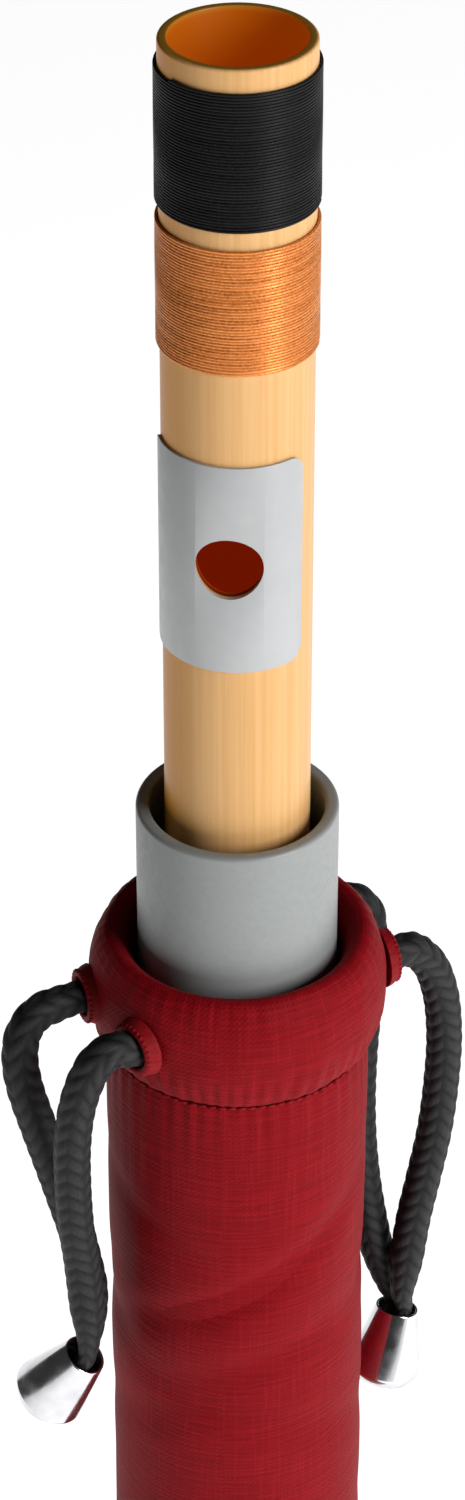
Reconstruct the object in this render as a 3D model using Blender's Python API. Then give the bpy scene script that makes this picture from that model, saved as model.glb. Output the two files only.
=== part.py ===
"""A bansuri, a side-blown bamboo flute, standing in its padded travel case.

The flute drops into a rigid plastic tube, and the tube drops into a padded
cloth sleeve whose rolled collar holds two drawcords. The origin is the middle
of the case's base, +Z runs up the flute, and -Y is the side that the blowing
hole and the finger holes face. Angles are degrees round the case, from -Y
towards +X.
"""

import math

import bmesh
import bpy
from mathutils import Matrix, Vector

MM = 0.001
SEGMENTS = 40
SMALL_SEGMENTS = 20

# Clearances
GAP = 0.3 * MM

# Flute
FLUTE_LENGTH = 483.0 * MM
FLUTE_RADIUS = 12.0 * MM
BORE_RADIUS = 10.5 * MM
RIM_ROUND = 0.4 * MM
SEAT_DEPTH = 0.3 * MM
BINDING_PROUD = 0.63 * MM
CROWN_BLACK_FROM_CROWN = 3.45 * MM
CROWN_BLACK_WIDTH = 22.75 * MM
CROWN_COPPER_FROM_CROWN = 28.8 * MM
CROWN_COPPER_WIDTH = 21.45 * MM
FOOT_BLACK_FROM_FOOT = 3.45 * MM
FOOT_BLACK_WIDTH = 18.0 * MM
FOOT_COPPER_FROM_FOOT = 24.1 * MM
FOOT_COPPER_WIDTH = 16.0 * MM
BINDING_EDGE = 0.3 * MM

# Blowing hole and its lip plate
EMBOUCHURE_FROM_CROWN = 84.4 * MM
EMBOUCHURE_RADIUS = 5.4 * MM
PLATE_ABOVE_HOLE = 18.2 * MM
PLATE_BELOW_HOLE = 19.0 * MM
PLATE_LEFT = -85.5
PLATE_RIGHT = 60.5
PLATE_PROUD = 0.5 * MM
PLATE_CORNER = 3.0 * MM

# Cork that closes the bore above the blowing hole
CORK_LENGTH = 15.0 * MM
CORK_FACE_ABOVE_HOLE = 14.0 * MM
CORK_EDGE = 0.6 * MM

# Finger holes, placed by the notes of the scale
FINGER_HOLE_RADIUS = 4.75 * MM
SEMITONES_ABOVE_FOOT_NOTE = (2, 4, 5, 7, 9, 11)
MOUTH_END_CORRECTION = 36.0 * MM
FINGER_HOLE_CORRECTION = 12.0 * MM
FOOT_CORRECTION_PER_RADIUS = 0.6

# Rigid tube
TUBE_LENGTH = 355.6 * MM
TUBE_RADIUS = 16.8 * MM
TUBE_WALL = 2.3 * MM
TUBE_RIM_ROUND = 0.6 * MM
PLUG_FLANGE = 2.5 * MM
PLUG_SPIGOT = 6.0 * MM
FOOT_PAD_THICKNESS = 3.0 * MM

# Padded sleeve
COVER_RADIUS = 22.5 * MM
COVER_HEIGHT = 317.5 * MM
COVER_WALL = 1.0 * MM
COVER_BASE_ROUND = 3.0 * MM
COVER_SHOULDER = 1.4 * MM
LINING_WALL = 0.6 * MM
BASE_PADDING = 4.0 * MM

# Rolled collar that holds the drawcords
COLLAR_RADIUS = 25.4 * MM
COLLAR_HEIGHT = 21.8 * MM
COLLAR_WALL = 0.85 * MM
COLLAR_POINTS = 20

# Eyelets, in one pair on each side
CORD_SIDE_ANGLE = -52.5
EYELET_SPREAD = 19.0
EYELET_LEAN = 10.0
EYELET_RADIUS = 5.3 * MM
EYELET_TIP_RADIUS = 4.5 * MM
EYELET_PROUD = 1.9 * MM
EYELET_EDGE = 0.4 * MM

# Drawcords
CORD_RADIUS = 3.0 * MM
CORD_CLEARANCE = 0.3 * MM
CORD_STEP = 5.9 * MM
EYELET_SQUEEZE = 0.8
BELL_SQUEEZE = 0.5
SQUEEZE_LENGTH = 15.0 * MM

# Metal bells on the cord ends
BELL_LENGTH = 14.5 * MM
BELL_MOUTH_RADIUS = 3.95 * MM
BELL_MOUTH_WALL = 0.45 * MM
BELL_BASE_RADIUS = 6.7 * MM
BELL_BASE_WALL = 0.6 * MM
BELL_BASE_CHAMFER = 1.1 * MM
BELL_SHOULDER_FROM_MOUTH = 12.3 * MM
BELL_LIP_ROUND = 0.2 * MM
STRAND_DEPTH_IN_BELL = 2.2 * MM
STRAND_SPACING = 3.3 * MM
KNOT_RADIUS = 4.2 * MM
KNOT_HEIGHT = 6.4 * MM

# Heights that follow from the sizes above
TUBE_INNER_RADIUS = TUBE_RADIUS - TUBE_WALL
LINING_INNER_RADIUS = TUBE_RADIUS + GAP
LINING_RADIUS = LINING_INNER_RADIUS + LINING_WALL
PADDING_INNER_RADIUS = LINING_RADIUS + GAP
PADDING_RADIUS = COVER_RADIUS - COVER_WALL - GAP
PADDING_BASE = COVER_WALL + GAP
LINING_BASE = PADDING_BASE + BASE_PADDING + GAP
PLUG_BASE = LINING_BASE + LINING_WALL + GAP
TUBE_BASE = PLUG_BASE + PLUG_FLANGE + GAP
TUBE_TOP = TUBE_BASE + TUBE_LENGTH
FOOT_PAD_BASE = PLUG_BASE + PLUG_FLANGE + PLUG_SPIGOT + GAP
FLUTE_FOOT = FOOT_PAD_BASE + FOOT_PAD_THICKNESS + GAP
FLUTE_CROWN = FLUTE_FOOT + FLUTE_LENGTH
EMBOUCHURE_HEIGHT = FLUTE_CROWN - EMBOUCHURE_FROM_CROWN
COLLAR_BASE = COVER_HEIGHT + GAP
COLLAR_MIDDLE = COLLAR_BASE + COLLAR_HEIGHT / 2
COLLAR_INNER_RADIUS = TUBE_RADIUS + GAP
CHANNEL_RADIUS = (COLLAR_RADIUS + COLLAR_INNER_RADIUS) / 2

# Each eyelet: the angle of its middle, and the side its cord comes from
EYELETS = {
    "left_front": (CORD_SIDE_ANGLE + EYELET_SPREAD, -1),
    "left_rear": (CORD_SIDE_ANGLE - EYELET_SPREAD, 1),
    "right_front": (CORD_SIDE_ANGLE + 180 - EYELET_SPREAD, 1),
    "right_rear": (CORD_SIDE_ANGLE + 180 + EYELET_SPREAD, -1),
}

# The free strands from eyelet to bell: angle, radius and height above the
# collar's middle, in degrees and millimetres, chosen by hand
STRANDS = {
    "left_front": [
        (-36.2, 29.4, 1.2),
        (-38.2, 32.3, 0.2),
        (-39.8, 34.6, -3.6),
        (-41.2, 36.1, -9.6),
        (-42.3, 36.6, -17.0),
        (-43.5, 36.2, -25.6),
        (-45.0, 35.1, -36.8),
        (-46.8, 33.3, -47.2),
    ],
    "left_rear": [
        (-67.6, 30.8, 0.6),
        (-65.8, 35.0, 0.2),
        (-64.2, 37.9, -2.4),
        (-62.8, 39.0, -7.0),
        (-61.5, 38.6, -12.6),
        (-60.5, 37.0, -19.8),
        (-60.0, 34.8, -28.6),
        (-59.5, 32.3, -38.8),
        (-58.5, 30.4, -47.5),
    ],
    "right_front": [
        (112.8, 30.6, -0.9),
        (115.5, 34.8, -5.6),
        (117.0, 37.7, -13.5),
        (118.0, 39.1, -24.0),
        (118.5, 39.0, -35.0),
        (118.5, 38.0, -45.7),
        (118.7, 36.2, -56.2),
        (118.9, 34.4, -66.3),
    ],
    "right_rear": [
        (144.6, 29.8, -0.2),
        (141.2, 31.6, -2.6),
        (138.5, 31.2, -8.0),
        (136.8, 29.8, -17.0),
        (136.0, 28.4, -29.0),
        (135.2, 27.8, -42.0),
        (133.5, 28.0, -54.0),
        (130.5, 28.9, -66.0),
    ],
}

# Each bell: where its two strands gather, its mouth, a place further down its
# axis, and the angle that its front strand lies towards
BELLS = {
    "left": ((-50.8, 30.3, -64.6), (-51.5, 31.5, -71.2), (-60.5, 37.4, -83.2), 0.0),
    "right": ((122.0, 31.8, -82.0), (122.0, 32.7, -87.4), (118.5, 28.9, -101.8), 43.0),
}
GATHERED_SPACING = 5.0 * MM


def clear_scene():
    for found in list(bpy.data.objects):
        bpy.data.objects.remove(found, do_unlink=True)


def material(name, color, roughness, metallic=0.0):
    made = bpy.data.materials.new(name)
    made.use_nodes = True
    shader = made.node_tree.nodes["Principled BSDF"]
    shader.inputs["Base Color"].default_value = (*color, 1.0)
    shader.inputs["Roughness"].default_value = roughness
    shader.inputs["Metallic"].default_value = metallic
    return made


def add_object(name, data, finish=None):
    made = bpy.data.objects.new(name, data)
    bpy.context.scene.collection.objects.link(made)
    if finish is not None:
        data.materials.append(finish)
    return made


def as_cutter(made):
    made.hide_render = True
    made.display_type = "WIRE"
    return made


def cut(target, cutter):
    modifier = target.modifiers.new(cutter.name, "BOOLEAN")
    modifier.operation = "DIFFERENCE"
    modifier.solver = "EXACT"
    modifier.object = cutter


def arc(radius, height, size, start, end, steps):
    """Points of an arc in the profile plane, angles in degrees from outwards."""
    points = []
    for i in range(steps + 1):
        turn = math.radians(start + (end - start) * i / steps)
        points.append((radius + size * math.cos(turn), height + size * math.sin(turn)))
    return points


def turned(name, outline, finish=None, closed=True, steps=SEGMENTS):
    """A solid of revolution about Z from (radius, height) points that run
    down its outer side."""
    mesh = bpy.data.meshes.new(name)
    edges = [(i, i + 1) for i in range(len(outline) - 1)]
    if closed:
        edges.append((len(outline) - 1, 0))
    mesh.from_pydata([(radius, 0.0, height) for radius, height in outline], edges, [])
    made = add_object(name, mesh, finish)
    screw = made.modifiers.new("turn", "SCREW")
    screw.axis = "Z"
    screw.angle = math.tau
    screw.steps = steps
    screw.render_steps = steps
    screw.use_merge_vertices = True
    screw.merge_threshold = 0.00001
    return made


def around(angle, radius, height):
    """The point at an angle round the case, from -Y towards +X."""
    turn = math.radians(angle)
    return Vector((radius * math.sin(turn), -radius * math.cos(turn), height))


def outward(angle):
    return around(angle, 1.0, 0.0)


def sideways(angle):
    return around(angle + 90, 1.0, 0.0)


def flute_holes(name, radius, heights):
    """One cutter through the front wall of the flute at each height."""
    shape = bmesh.new()
    depth = FLUTE_RADIUS
    for height in heights:
        place = Matrix.Translation((0, -BORE_RADIUS / 2 - depth / 2, height))
        bmesh.ops.create_cone(
            shape,
            cap_ends=True,
            segments=SMALL_SEGMENTS,
            radius1=radius,
            radius2=radius,
            depth=depth,
            matrix=place @ Matrix.Rotation(math.pi / 2, 4, "X"),
        )
    mesh = bpy.data.meshes.new(name)
    shape.to_mesh(mesh)
    shape.free()
    return as_cutter(add_object(name, mesh))


def finger_hole_heights():
    sounding = FLUTE_LENGTH - EMBOUCHURE_FROM_CROWN
    foot_correction = FOOT_CORRECTION_PER_RADIUS * BORE_RADIUS
    air_column = sounding + foot_correction + MOUTH_END_CORRECTION
    corrections = MOUTH_END_CORRECTION + FINGER_HOLE_CORRECTION
    return [
        EMBOUCHURE_HEIGHT - (air_column * 2 ** (-semitones / 12) - corrections)
        for semitones in SEMITONES_ABOVE_FOOT_NOTE
    ]


def binding_spans():
    """The low and high edge of each thread binding on the flute."""
    crown_black = FLUTE_CROWN - CROWN_BLACK_FROM_CROWN
    crown_copper = FLUTE_CROWN - CROWN_COPPER_FROM_CROWN
    foot_black = FLUTE_FOOT + FOOT_BLACK_FROM_FOOT
    foot_copper = FLUTE_FOOT + FOOT_COPPER_FROM_FOOT
    return {
        "crown_binding_black": (crown_black - CROWN_BLACK_WIDTH, crown_black),
        "crown_binding_copper": (crown_copper - CROWN_COPPER_WIDTH, crown_copper),
        "foot_binding_copper": (foot_copper, foot_copper + FOOT_COPPER_WIDTH),
        "foot_binding_black": (foot_black, foot_black + FOOT_BLACK_WIDTH),
    }


def make_flute_tube(finish, embouchure, finger_holes):
    """The bamboo tube, with a shallow seat under each binding."""
    seat_radius = FLUTE_RADIUS - SEAT_DEPTH
    outline = arc(FLUTE_RADIUS - RIM_ROUND, FLUTE_CROWN - RIM_ROUND, RIM_ROUND, 90, 0, 2)
    for low, high in binding_spans().values():
        outline.append((FLUTE_RADIUS, high + GAP))
        outline.append((seat_radius, high + GAP))
        outline.append((seat_radius, low - GAP))
        outline.append((FLUTE_RADIUS, low - GAP))
    outline += arc(FLUTE_RADIUS - RIM_ROUND, FLUTE_FOOT + RIM_ROUND, RIM_ROUND, 0, -90, 2)
    outline.append((BORE_RADIUS, FLUTE_FOOT))
    outline.append((BORE_RADIUS, FLUTE_CROWN))
    flute = turned("flute_tube", outline, finish)
    plate_seat = rolled_plate("plate_seat", seat_radius, FLUTE_RADIUS + PLATE_PROUD, GAP)
    cut(flute, as_cutter(plate_seat))
    cut(flute, embouchure)
    cut(flute, finger_holes)
    return flute


def make_bindings(black, copper):
    """Rings of thread wound round the flute, which keep it from splitting."""
    inner = FLUTE_RADIUS - SEAT_DEPTH + GAP
    outer = FLUTE_RADIUS + BINDING_PROUD
    for name, (low, high) in binding_spans().items():
        outline = [
            (inner, high),
            (outer - BINDING_EDGE, high),
            (outer, high - BINDING_EDGE),
            (outer, low + BINDING_EDGE),
            (outer - BINDING_EDGE, low),
            (inner, low),
        ]
        turned(name, outline, black if name.endswith("black") else copper)


def rolled_plate(name, inner, outer, margin, finish=None):
    """A plate with round corners, cut flat and rolled round the flute."""
    face = math.tau / SEGMENTS
    left = math.radians(PLATE_LEFT) - margin / inner
    right = math.radians(PLATE_RIGHT) + margin / inner
    low = EMBOUCHURE_HEIGHT - PLATE_BELOW_HOLE - margin
    high = EMBOUCHURE_HEIGHT + PLATE_ABOVE_HOLE + margin
    across = PLATE_CORNER / inner
    corners = ((right, high, 0), (left, high, 90), (left, low, 180), (right, low, 270))
    shape = bmesh.new()
    edge = []
    for side, level, start in corners:
        middle_side = side - across if side > 0 else side + across
        middle_level = level - PLATE_CORNER if level > low else level + PLATE_CORNER
        for i in range(5):
            turn = math.radians(start + 90 * i / 4)
            place = (
                middle_side + across * math.cos(turn),
                0,
                middle_level + PLATE_CORNER * math.sin(turn),
            )
            edge.append(shape.verts.new(place))
    shape.faces.new(edge)
    for i in range(math.ceil(left / face), math.floor(right / face) + 1):
        bmesh.ops.bisect_plane(
            shape,
            geom=shape.verts[:] + shape.edges[:] + shape.faces[:],
            plane_co=(i * face, 0, 0),
            plane_no=(1, 0, 0),
        )
    flat = shape.faces[:]
    grown = bmesh.ops.extrude_face_region(shape, geom=flat, use_keep_orig=True)
    for part in grown["geom"]:
        if isinstance(part, bmesh.types.BMVert):
            part.co.y = outer - inner
    for vert in shape.verts:
        vert.co = around(math.degrees(vert.co.x), inner + vert.co.y, vert.co.z)
    bmesh.ops.recalc_face_normals(shape, faces=shape.faces[:])
    mesh = bpy.data.meshes.new(name)
    shape.to_mesh(mesh)
    shape.free()
    return add_object(name, mesh, finish)


def make_lip_plate(finish, embouchure):
    inner = FLUTE_RADIUS - SEAT_DEPTH + GAP
    plate = rolled_plate("lip_plate", inner, FLUTE_RADIUS + PLATE_PROUD, 0.0, finish)
    cut(plate, embouchure)


def make_cork(finish):
    low = EMBOUCHURE_HEIGHT + CORK_FACE_ABOVE_HOLE
    high = low + CORK_LENGTH
    radius = BORE_RADIUS - GAP
    outline = [
        (0, high),
        (radius - CORK_EDGE, high),
        (radius, high - CORK_EDGE),
        (radius, low + CORK_EDGE),
        (radius - CORK_EDGE, low),
        (0, low),
    ]
    turned("stopper_cork", outline, finish, closed=False)


def make_case_tube(tube_finish, plug_finish, pad_finish):
    """The rigid tube, the plug in its lower end and the pad that the foot
    of the flute rests on."""
    rim = TUBE_RIM_ROUND
    outline = arc(TUBE_RADIUS - rim, TUBE_TOP - rim, rim, 90, 0, 2)
    outline.append((TUBE_RADIUS, TUBE_BASE))
    outline.append((TUBE_INNER_RADIUS, TUBE_BASE))
    outline += arc(TUBE_INNER_RADIUS + rim, TUBE_TOP - rim, rim, 180, 90, 2)
    turned("case_tube", outline, tube_finish)

    spigot = TUBE_INNER_RADIUS - GAP
    flange_top = PLUG_BASE + PLUG_FLANGE
    plug = [
        (0, flange_top + PLUG_SPIGOT),
        (spigot, flange_top + PLUG_SPIGOT),
        (spigot, flange_top),
        (TUBE_RADIUS, flange_top),
        (TUBE_RADIUS, PLUG_BASE),
        (0, PLUG_BASE),
    ]
    turned("tube_end_plug", plug, plug_finish, closed=False)

    pad_top = FOOT_PAD_BASE + FOOT_PAD_THICKNESS
    pad = [(0, pad_top), (spigot, pad_top), (spigot, FOOT_PAD_BASE), (0, FOOT_PAD_BASE)]
    turned("foot_pad", pad, pad_finish, closed=False)


def cup(name, inner, outer, floor, base, top, finish, base_round=0.0, shoulder=0.0):
    """A round cup, open at the top."""
    outline = [(0, floor), (inner, floor), (inner, top)]
    if shoulder:
        outline += arc(outer - shoulder, top - shoulder, shoulder, 90, 0, 3)
    else:
        outline.append((outer, top))
    if base_round:
        outline += arc(outer - base_round, base + base_round, base_round, 0, -90, 3)
    else:
        outline.append((outer, base))
    outline.append((0, base))
    return turned(name, outline, finish, closed=False)


def make_sleeve(cover_finish, padding_finish, lining_finish):
    """Three cloth and wadding cups, one inside the other."""
    cup(
        "sleeve_cover",
        COVER_RADIUS - COVER_WALL,
        COVER_RADIUS,
        COVER_WALL,
        0.0,
        COVER_HEIGHT,
        cover_finish,
        base_round=COVER_BASE_ROUND,
        shoulder=COVER_WALL / 2,
    )
    cup(
        "sleeve_padding",
        PADDING_INNER_RADIUS,
        PADDING_RADIUS,
        PADDING_BASE + BASE_PADDING,
        PADDING_BASE,
        COVER_HEIGHT,
        padding_finish,
        base_round=COVER_BASE_ROUND - COVER_WALL,
    )
    cup(
        "sleeve_lining",
        LINING_INNER_RADIUS,
        LINING_RADIUS,
        LINING_BASE + LINING_WALL,
        LINING_BASE,
        COVER_HEIGHT,
        lining_finish,
    )


def collar_section(margin):
    """The oval section of the collar, grown or shrunk by a margin."""
    across = (COLLAR_RADIUS - COLLAR_INNER_RADIUS) / 2 + margin
    up = COLLAR_HEIGHT / 2 + margin
    points = []
    for i in range(COLLAR_POINTS):
        turn = -math.tau * i / COLLAR_POINTS
        place = (CHANNEL_RADIUS + across * math.cos(turn), COLLAR_MIDDLE + up * math.sin(turn))
        points.append(place)
    return points


def eyelet_axis(name):
    """Where an eyelet's axis meets the collar's skin, and its direction."""
    angle, side = EYELETS[name]
    lean = math.radians(EYELET_LEAN)
    direction = outward(angle) * math.cos(lean) + sideways(angle) * side * math.sin(lean)
    return around(angle, COLLAR_RADIUS, COLLAR_MIDDLE), direction


def along(place, direction):
    """The matrix that turns +Z to a direction and moves it to a place."""
    return Matrix.Translation(place) @ direction.to_track_quat("Z", "Y").to_matrix().to_4x4()


def make_collar(finish):
    """The hollow roll of cloth round the sleeve's mouth."""
    collar = turned("sleeve_collar", collar_section(0.0), finish)
    cut(collar, as_cutter(turned("collar_channel", collar_section(-COLLAR_WALL))))
    hole_radius = CORD_RADIUS + CORD_CLEARANCE + COLLAR_WALL
    depth = COLLAR_RADIUS - CHANNEL_RADIUS + EYELET_PROUD
    for name in EYELETS:
        place, direction = eyelet_axis(name)
        shape = bmesh.new()
        bmesh.ops.create_cone(
            shape,
            cap_ends=True,
            segments=SMALL_SEGMENTS,
            radius1=hole_radius,
            radius2=hole_radius,
            depth=depth,
            matrix=along(place + direction * (EYELET_PROUD - depth / 2), direction),
        )
        mesh = bpy.data.meshes.new("collar_hole_" + name)
        shape.to_mesh(mesh)
        shape.free()
        cut(collar, as_cutter(add_object(mesh.name, mesh)))


def make_eyelets(finish):
    """A raised ring round each place where a cord leaves the collar."""
    skin = as_cutter(turned("collar_skin", collar_section(GAP)))
    lumen = CORD_RADIUS + CORD_CLEARANCE
    edge = EYELET_EDGE
    root = -EYELET_PROUD
    for name in EYELETS:
        place, direction = eyelet_axis(name)
        outline = [
            (lumen + edge, EYELET_PROUD),
            (EYELET_TIP_RADIUS - edge, EYELET_PROUD),
            (EYELET_TIP_RADIUS, EYELET_PROUD - edge),
            (EYELET_RADIUS, 0.0),
            (EYELET_RADIUS, root),
            (lumen, root),
            (lumen, EYELET_PROUD - edge),
        ]
        ring = turned("eyelet_" + name, outline, finish, steps=SMALL_SEGMENTS)
        ring.matrix_world = along(place, direction)
        cut(ring, skin)


def bell_frame(side):
    """A bell's mouth, its axis and the direction its front strand lies in."""
    _, mouth, tip, towards = BELLS[side]
    mouth = collar_point(mouth)
    axis = (collar_point(tip) - mouth).normalized()
    across = outward(towards)
    across = (across - axis * across.dot(axis)).normalized()
    return mouth, axis, across


def collar_point(point):
    """A hand-chosen angle, radius and height above the collar's middle."""
    angle, radius, height = point
    return around(angle, radius * MM, COLLAR_MIDDLE + height * MM)


def strand_points(name):
    """One free strand, from inside its eyelet to its end inside the bell."""
    side, place_in_pair = name.split("_")
    front = 1 if place_in_pair == "front" else -1
    place, direction = eyelet_axis(name)
    mouth, axis, across = bell_frame(side)
    gather = collar_point(BELLS[side][0])
    points = [place, place + direction * EYELET_PROUD]
    points += [collar_point(point) for point in STRANDS[name]]
    points.append(gather + across * front * GATHERED_SPACING / 2)
    points.append(mouth - axis * 0.8 * MM + across * front * STRAND_SPACING / 2)
    points.append(mouth + axis * STRAND_DEPTH_IN_BELL + across * front * STRAND_SPACING / 2)
    return points


def channel_points(start, end):
    """The hidden stretch round the neck, between two eyelets' angles."""
    turn_in = 11.0
    step = 12.0
    sign = 1 if end > start else -1
    first = start + sign * turn_in
    last = end - sign * turn_in
    count = round(abs(last - first) / step)
    angles = [first + (last - first) * i / count for i in range(count + 1)]
    return [around(angle, CHANNEL_RADIUS, COLLAR_MIDDLE) for angle in angles]


def smooth_line(points, per_span=16):
    """A centripetal curve through every point."""
    ends = [points[0] * 2 - points[1], *points, points[-1] * 2 - points[-2]]
    line = []
    for a, b, c, d in zip(ends, ends[1:], ends[2:], ends[3:]):
        t1 = math.sqrt((b - a).length)
        t2 = t1 + math.sqrt((c - b).length)
        t3 = t2 + math.sqrt((d - c).length)
        for i in range(per_span):
            t = t1 + (t2 - t1) * i / per_span
            ab = a.lerp(b, t / t1)
            bc = b.lerp(c, (t - t1) / (t2 - t1))
            cd = c.lerp(d, (t - t2) / (t3 - t2))
            abc = ab.lerp(bc, t / t2)
            bcd = bc.lerp(cd, (t - t1) / (t3 - t1))
            line.append(abc.lerp(bcd, (t - t1) / (t2 - t1)))
    line.append(points[-1])
    return line


def spaced(line, step):
    """The line again, with its points evenly spaced about a step apart."""
    reach = [0.0]
    for a, b in zip(line, line[1:]):
        reach.append(reach[-1] + (b - a).length)
    count = max(2, round(reach[-1] / step))
    found = []
    j = 0
    for i in range(count + 1):
        want = reach[-1] * i / count
        while j < len(line) - 2 and reach[j + 1] < want:
            j += 1
        share = (want - reach[j]) / (reach[j + 1] - reach[j])
        found.append(line[j].lerp(line[j + 1], min(share, 1.0)))
    return found


def squeeze(point, ends, eyelets):
    """How thick the cord is at a point, as a share of its full thickness:
    the bells and the eyelets pinch it."""
    to_end = min((point - end).length for end in ends)
    to_eyelet = min((point - eyelet).length for eyelet in eyelets)
    at_end = BELL_SQUEEZE + (1 - BELL_SQUEEZE) * smooth_step(
        (to_end - STRAND_DEPTH_IN_BELL) / SQUEEZE_LENGTH
    )
    reach = COLLAR_RADIUS - COLLAR_INNER_RADIUS
    at_eyelet = EYELET_SQUEEZE + (1 - EYELET_SQUEEZE) * smooth_step(to_eyelet / reach - 0.4)
    return min(at_end, at_eyelet)


def smooth_step(share):
    share = min(max(share, 0.0), 1.0)
    return share * share * (3 - 2 * share)


def make_drawcord(name, left, right, finish):
    """One cord from the left bell, round its half of the neck, to the right
    bell."""
    left_strand = strand_points(left)
    right_strand = strand_points(right)
    start = EYELETS[left][0]
    end = EYELETS[right][0]
    if left.endswith("rear"):
        end -= 360
    route = left_strand[::-1] + channel_points(start, end) + right_strand
    line = spaced(smooth_line(route), CORD_STEP)
    ends = (route[0], route[-1])
    eyelets = (left_strand[0], right_strand[0])
    curve = bpy.data.curves.new(name, "CURVE")
    curve.dimensions = "3D"
    curve.bevel_depth = CORD_RADIUS
    curve.bevel_resolution = 3
    curve.use_fill_caps = True
    spline = curve.splines.new("POLY")
    spline.points.add(len(line) - 1)
    for point, place in zip(spline.points, line):
        point.co = (*place, 1.0)
        point.radius = squeeze(place, ends, eyelets)
    add_object(name, curve, finish)


def make_bells(bell_finish, cord_finish):
    """A hollow metal bell on each pair of cord ends, and the knot in it."""
    shoulder = -BELL_SHOULDER_FROM_MOUTH
    inner_mouth = BELL_MOUTH_RADIUS - BELL_MOUTH_WALL
    inner_base = BELL_BASE_RADIUS - BELL_BASE_WALL
    outline = [
        (inner_mouth + BELL_LIP_ROUND, 0.0),
        (BELL_MOUTH_RADIUS - BELL_LIP_ROUND, 0.0),
        (BELL_MOUTH_RADIUS, -BELL_LIP_ROUND),
        (BELL_BASE_RADIUS, shoulder),
        (BELL_BASE_RADIUS - BELL_BASE_CHAMFER, -BELL_LENGTH),
        (inner_base - BELL_BASE_CHAMFER, -BELL_LENGTH),
        (inner_base, shoulder),
        (inner_mouth, -BELL_LIP_ROUND),
    ]
    knot_middle = STRAND_DEPTH_IN_BELL + GAP + KNOT_HEIGHT / 2
    for side in BELLS:
        mouth, axis, _ = bell_frame(side)
        bell = turned("cord_bell_" + side, outline, bell_finish, steps=SMALL_SEGMENTS)
        bell.matrix_world = along(mouth, -axis)
        knot_outline = [
            (KNOT_RADIUS * math.cos(turn), KNOT_HEIGHT / 2 * math.sin(turn))
            for turn in (math.radians(90 - 20 * i) for i in range(10))
        ]
        knot_outline[0] = (0.0, KNOT_HEIGHT / 2)
        knot_outline[-1] = (0.0, -KNOT_HEIGHT / 2)
        knot = turned(
            "cord_knot_" + side, knot_outline, cord_finish, closed=False, steps=SMALL_SEGMENTS
        )
        knot.matrix_world = along(mouth + axis * knot_middle, -axis)


def build():
    clear_scene()
    bamboo = material("bamboo", (0.78, 0.47, 0.22), 0.45)
    black_thread = material("black_thread", (0.02, 0.02, 0.022), 0.5)
    copper_thread = material("copper_thread", (0.75, 0.27, 0.09), 0.35, 0.2)
    plate_grey = material("lip_plate_grey", (0.52, 0.52, 0.53), 0.4)
    cork = material("cork", (0.5, 0.3, 0.16), 0.9)
    tube_white = material("tube_white", (0.55, 0.56, 0.55), 0.45)
    plug_white = material("plug_white", (0.6, 0.6, 0.6), 0.5)
    foam = material("foam", (0.2, 0.2, 0.2), 0.95)
    red_cloth = material("red_cloth", (0.36, 0.008, 0.014), 0.8)
    wadding = material("wadding", (0.75, 0.73, 0.7), 0.95)
    lining = material("lining_black", (0.02, 0.02, 0.02), 0.9)
    red_ring = material("eyelet_red", (0.4, 0.01, 0.016), 0.5)
    cord_black = material("cord_black", (0.015, 0.015, 0.015), 0.7)
    chrome = material("chrome", (0.75, 0.75, 0.77), 0.15, 1.0)

    embouchure = flute_holes("embouchure_cutter", EMBOUCHURE_RADIUS, [EMBOUCHURE_HEIGHT])
    finger_holes = flute_holes("finger_cutter", FINGER_HOLE_RADIUS, finger_hole_heights())
    make_flute_tube(bamboo, embouchure, finger_holes)
    make_lip_plate(plate_grey, embouchure)
    make_bindings(black_thread, copper_thread)
    make_cork(cork)
    make_case_tube(tube_white, plug_white, foam)
    make_sleeve(red_cloth, wadding, lining)
    make_collar(red_cloth)
    make_eyelets(red_ring)
    make_drawcord("drawcord_front", "left_front", "right_front", cord_black)
    make_drawcord("drawcord_rear", "left_rear", "right_rear", cord_black)
    make_bells(chrome, cord_black)


build()
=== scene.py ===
# %% [markdown]
# A bansuri standing in its travel case. The flute is bamboo with four thread
# bindings and a lip plate. Its case is a rigid tube in a padded silk sleeve,
# which two braided cords draw shut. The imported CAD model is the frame, and
# every piece here takes its place and its size from that frame.

# %% Load the frame
import math

import bmesh
import bpy
from mathutils import Matrix, Vector, noise


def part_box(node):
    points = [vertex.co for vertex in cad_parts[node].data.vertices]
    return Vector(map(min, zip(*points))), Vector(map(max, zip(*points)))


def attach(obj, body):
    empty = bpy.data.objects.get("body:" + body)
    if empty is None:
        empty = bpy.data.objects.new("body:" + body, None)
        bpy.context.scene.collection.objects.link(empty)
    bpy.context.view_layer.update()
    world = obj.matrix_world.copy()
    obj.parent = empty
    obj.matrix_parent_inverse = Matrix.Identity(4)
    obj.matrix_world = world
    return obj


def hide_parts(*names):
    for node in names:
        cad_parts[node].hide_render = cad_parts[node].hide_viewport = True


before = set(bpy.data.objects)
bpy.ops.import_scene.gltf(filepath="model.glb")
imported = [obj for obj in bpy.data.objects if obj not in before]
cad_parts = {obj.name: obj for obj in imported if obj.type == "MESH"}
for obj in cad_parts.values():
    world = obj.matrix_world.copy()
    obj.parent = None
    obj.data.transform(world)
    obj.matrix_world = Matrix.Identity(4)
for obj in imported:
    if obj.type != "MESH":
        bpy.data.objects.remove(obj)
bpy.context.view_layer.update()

MM = 0.001

# %% [markdown]
# The camera comes first, because everything is judged through it. It stands
# a little to the right of the blowing hole and looks down on the crown, so
# the rims open into ovals. The lens is long, which keeps the sides of the
# tube nearly parallel.

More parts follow.
